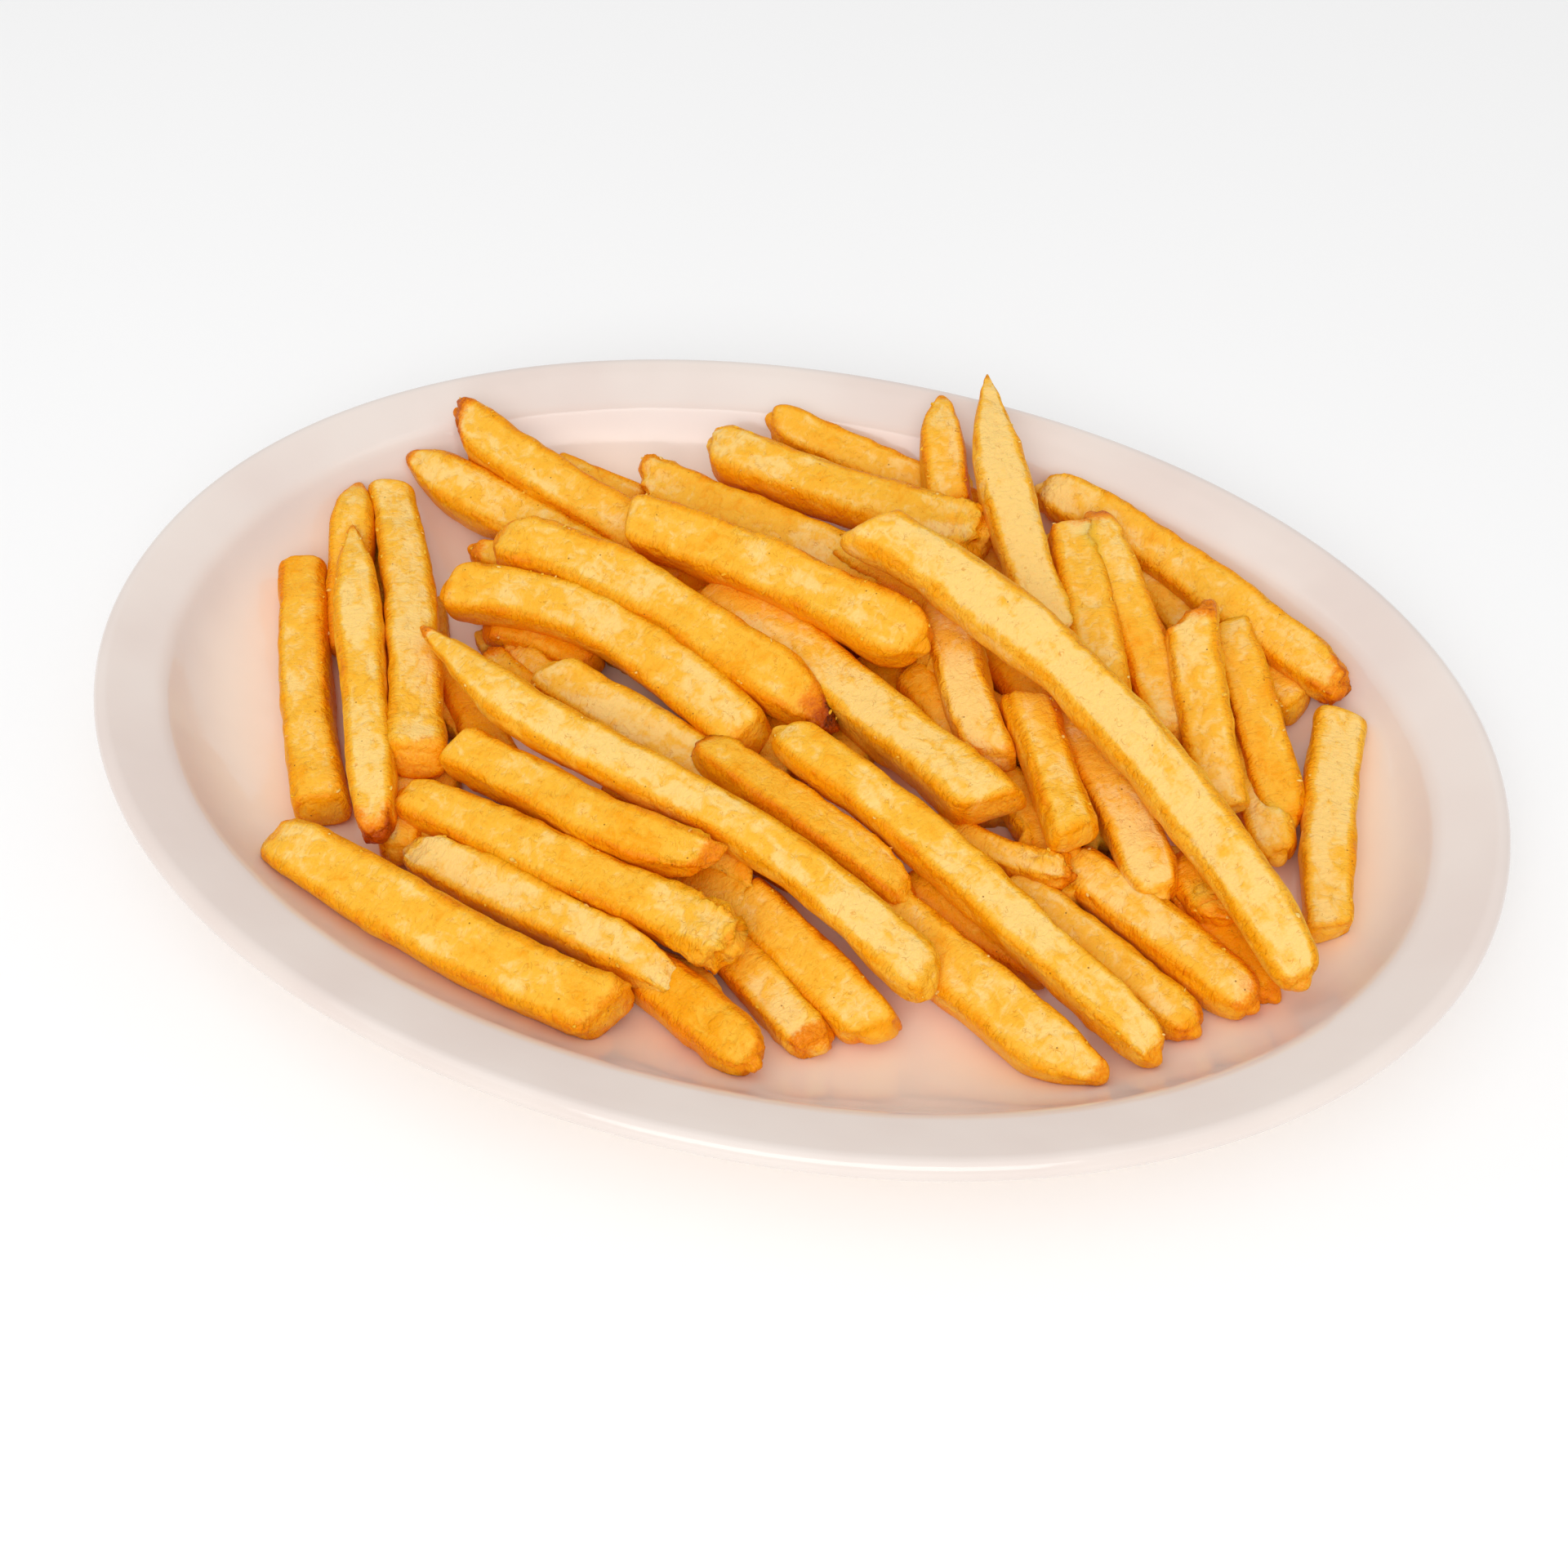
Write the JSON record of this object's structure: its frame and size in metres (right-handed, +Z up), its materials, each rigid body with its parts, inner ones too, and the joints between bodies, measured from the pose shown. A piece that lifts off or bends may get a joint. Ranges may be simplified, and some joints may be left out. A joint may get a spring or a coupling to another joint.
{
  "type": "french fries portion",
  "caption": "Heaped portion of straight-cut fried potato sticks on a plain white oval platter with a sloping rim and a foot ring.",
  "frame": {"origin": "middle of the platter's footprint, at the level of its foot", "axes": "+X along the platter's length, +Y across it towards the back, +Z up"},
  "size_m": [0.262, 0.186, 0.0398],
  "materials": {
    "platter_glaze": "plain warm white glaze, glossy",
    "fried_potato": "fried potato: pale creamy faces, golden edges, brown tips, slightly oily"
  },
  "bodies": {
    "root": {"platter": "platter_glaze", "fries_heap": "fried_potato"}
  },
  "joints": []
}
